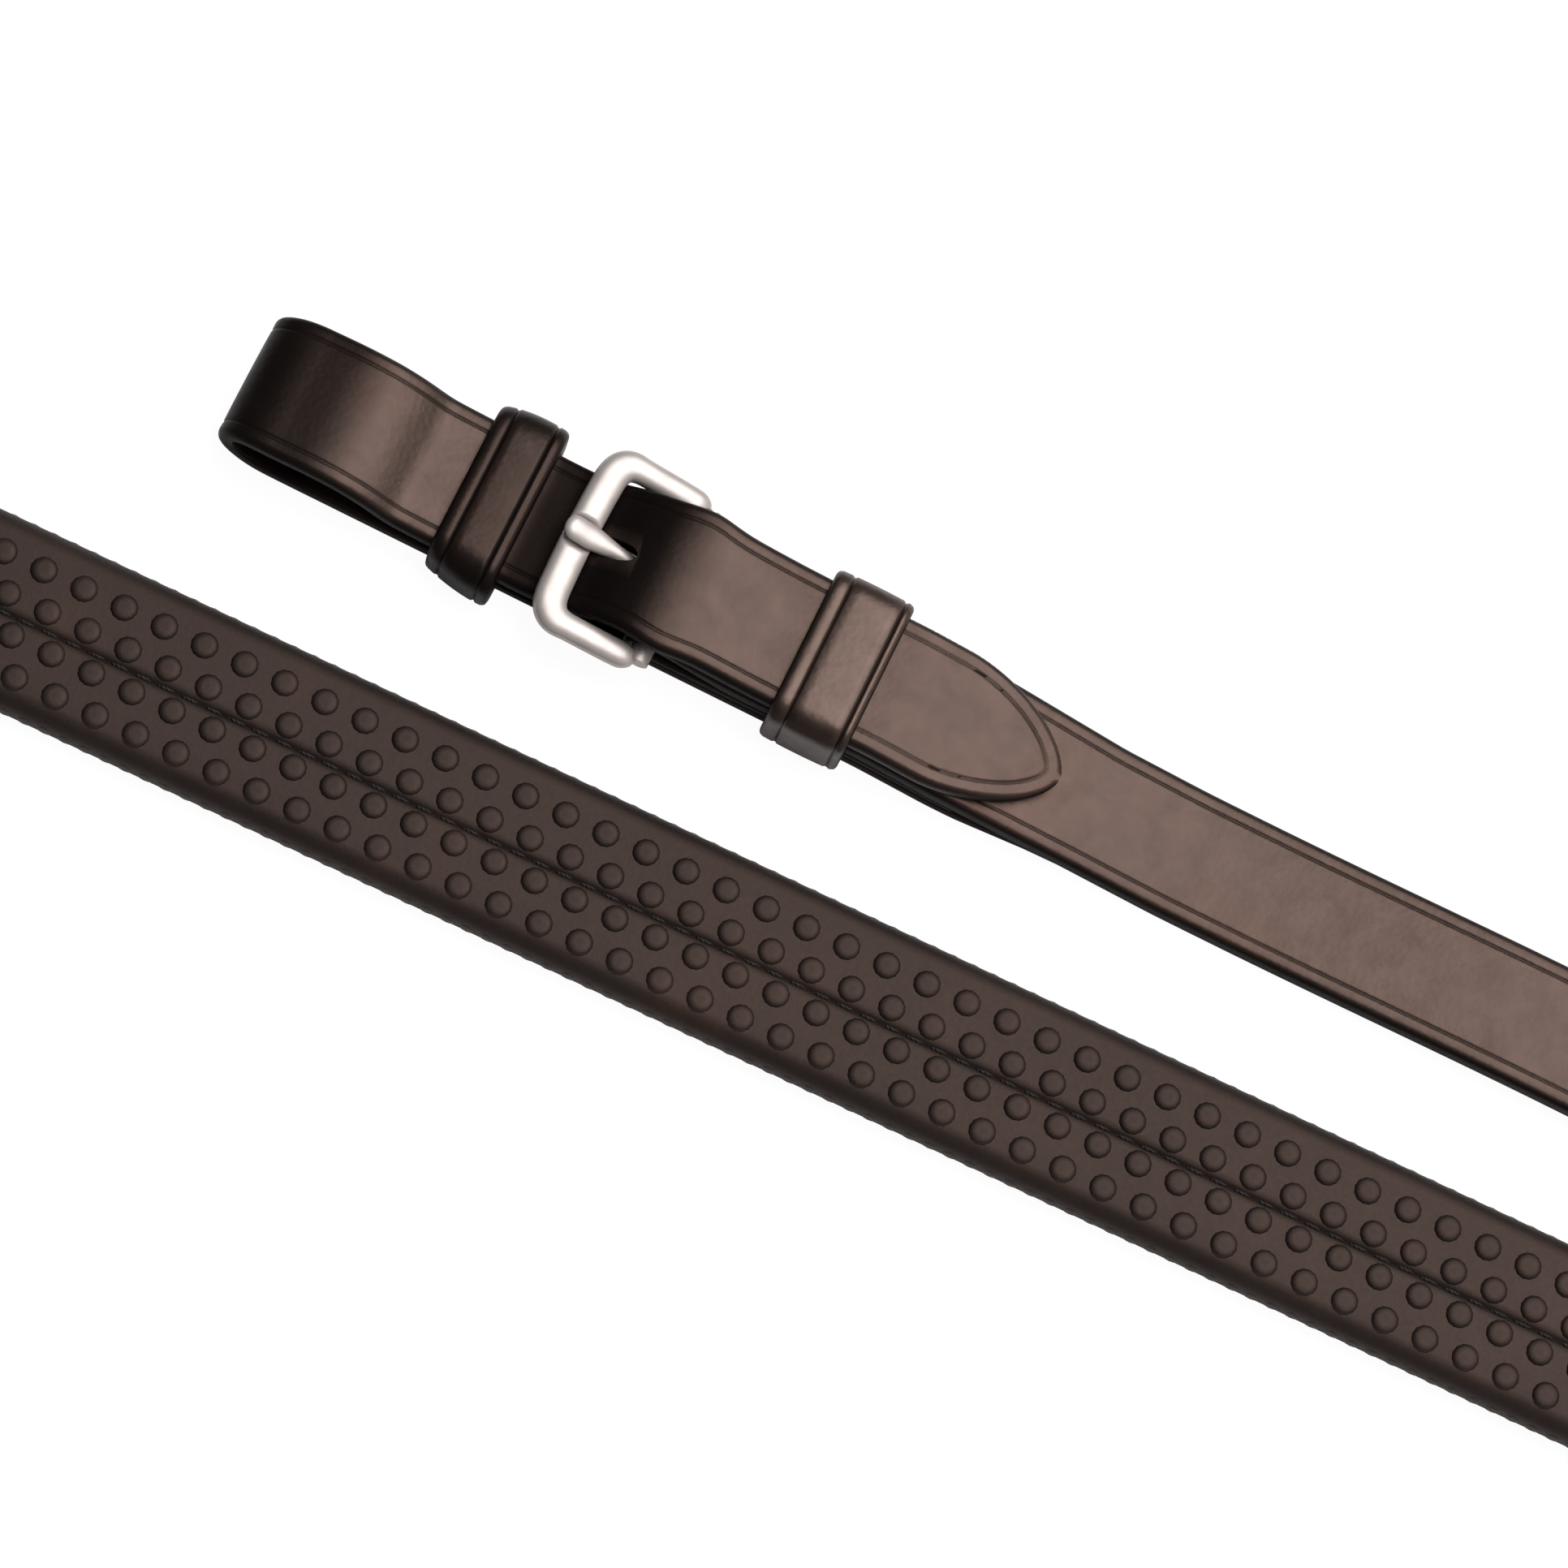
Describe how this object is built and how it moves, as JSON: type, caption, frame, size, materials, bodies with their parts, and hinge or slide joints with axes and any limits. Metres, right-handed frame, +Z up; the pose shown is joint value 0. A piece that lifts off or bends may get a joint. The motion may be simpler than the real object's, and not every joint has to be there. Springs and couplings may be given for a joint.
{
  "type": "pair of leather reins with rubber grips",
  "caption": "Pair of buckled leather riding reins with pimpled rubber grips, looped bit ends, leather keepers, rein stops and a buckled hand join.",
  "frame": {"origin": "on the resting surface, under the middle of the left rein's fixed keeper", "axes": "+Z up, +X along the left rein's straight bit end towards the hand, +Y towards the far side of the lap"},
  "size_m": [0.517, 0.3787, 0.0229],
  "materials": {
    "strap_leather": "semi-gloss dark brown bridle leather",
    "keeper_leather": "near-black dressed keeper leather",
    "rubber_grip": "matte brown-black pimpled rubber",
    "nickel_hardware": "polished nickel"
  },
  "bodies": {
    "reins": {"left_rein_strap": "strap_leather", "right_rein_strap": "strap_leather", "left_rubber_grip": "rubber_grip", "right_rubber_grip": "rubber_grip", "centre_fixed_keeper": "keeper_leather"},
    "left_bit_end": {"left_bit_end_strap": "strap_leather", "left_billet": "strap_leather", "left_fixed_keeper": "keeper_leather"},
    "left_buckle": {"left_buckle_frame": "nickel_hardware"},
    "left_tongue": {"left_buckle_tongue": "nickel_hardware"},
    "left_runner": {"left_runner_keeper": "keeper_leather"},
    "left_tip": {"left_billet_tip": "strap_leather"},
    "left_stop": {"left_rein_stop": "keeper_leather"},
    "right_bit_end": {"right_bit_end_strap": "strap_leather", "right_billet": "strap_leather", "right_fixed_keeper": "keeper_leather"},
    "right_buckle": {"right_buckle_frame": "nickel_hardware"},
    "right_tongue": {"right_buckle_tongue": "nickel_hardware"},
    "right_runner": {"right_runner_keeper": "keeper_leather"},
    "right_tip": {"right_billet_tip": "strap_leather"},
    "right_stop": {"right_rein_stop": "keeper_leather"},
    "centre_buckle": {"centre_buckle_frame": "nickel_hardware"},
    "centre_tongue": {"centre_buckle_tongue": "nickel_hardware"},
    "centre_runner": {"centre_runner_keeper": "keeper_leather"},
    "centre_tip": {"centre_strap_tip": "strap_leather"}
  },
  "joints": [
    {"name": "left_bit_end_flex", "type": "hinge", "parent": "reins", "child": "left_bit_end", "pos_m": [0.0522, 0, 0.0015], "axis": [0, 1, 0], "range_deg": [0, 60]},
    {"name": "left_buckle_tilt", "type": "hinge", "parent": "left_bit_end", "child": "left_buckle", "pos_m": [-0.0228, 0, 0.007], "axis": [0, 1, 0], "range_deg": [0, 5]},
    {"name": "left_tongue_lift", "type": "hinge", "parent": "left_buckle", "child": "left_tongue", "pos_m": [-0.0228, 0, 0.007], "axis": [0, 1, 0], "range_deg": [0, 8]},
    {"name": "left_runner_slide", "type": "slide", "parent": "left_bit_end", "child": "left_runner", "axis": [1, 0, 0], "range_m": [-0.0045, 0.003]},
    {"name": "left_tip_lift", "type": "hinge", "parent": "left_bit_end", "child": "left_tip", "pos_m": [0.0084, 0, 0.0095], "axis": [0, -1, 0], "range_deg": [0, 50]},
    {"name": "left_stop_slide", "type": "slide", "parent": "reins", "child": "left_stop", "axis": [1, 0, 0], "range_m": [-0.015, 0.002]},
    {"name": "right_bit_end_flex", "type": "hinge", "parent": "reins", "child": "right_bit_end", "pos_m": [0.0366, 0.31257, 0.0015], "axis": [0, 1, 0], "range_deg": [0, 60]},
    {"name": "right_buckle_tilt", "type": "hinge", "parent": "right_bit_end", "child": "right_buckle", "pos_m": [-0.0384, 0.31257, 0.007], "axis": [0, 1, 0], "range_deg": [0, 5]},
    {"name": "right_tongue_lift", "type": "hinge", "parent": "right_buckle", "child": "right_tongue", "pos_m": [-0.0384, 0.31257, 0.007], "axis": [0, 1, 0], "range_deg": [0, 8]},
    {"name": "right_runner_slide", "type": "slide", "parent": "right_bit_end", "child": "right_runner", "axis": [1, 0, 0], "range_m": [-0.0045, 0.003]},
    {"name": "right_tip_lift", "type": "hinge", "parent": "right_bit_end", "child": "right_tip", "pos_m": [-0.0072, 0.31257, 0.0095], "axis": [0, -1, 0], "range_deg": [0, 50]},
    {"name": "right_stop_slide", "type": "slide", "parent": "reins", "child": "right_stop", "axis": [1, 0, 0], "range_m": [-0.015, 0.002]},
    {"name": "centre_buckle_tilt", "type": "hinge", "parent": "reins", "child": "centre_buckle", "pos_m": [-0.1978, 0.05, 0.00465], "axis": [-1, 0, 0], "range_deg": [0, 5]},
    {"name": "centre_tongue_lift", "type": "hinge", "parent": "centre_buckle", "child": "centre_tongue", "pos_m": [-0.1978, 0.05, 0.00465], "axis": [-1, 0, 0], "range_deg": [0, 8]},
    {"name": "centre_runner_slide", "type": "slide", "parent": "reins", "child": "centre_runner", "axis": [0, 1, 0], "range_m": [-0.004, 0.001]},
    {"name": "centre_tip_lift", "type": "hinge", "parent": "reins", "child": "centre_tip", "pos_m": [-0.1978, 0.0897, 0.007], "axis": [1, 0, 0], "range_deg": [0, 50]}
  ]
}
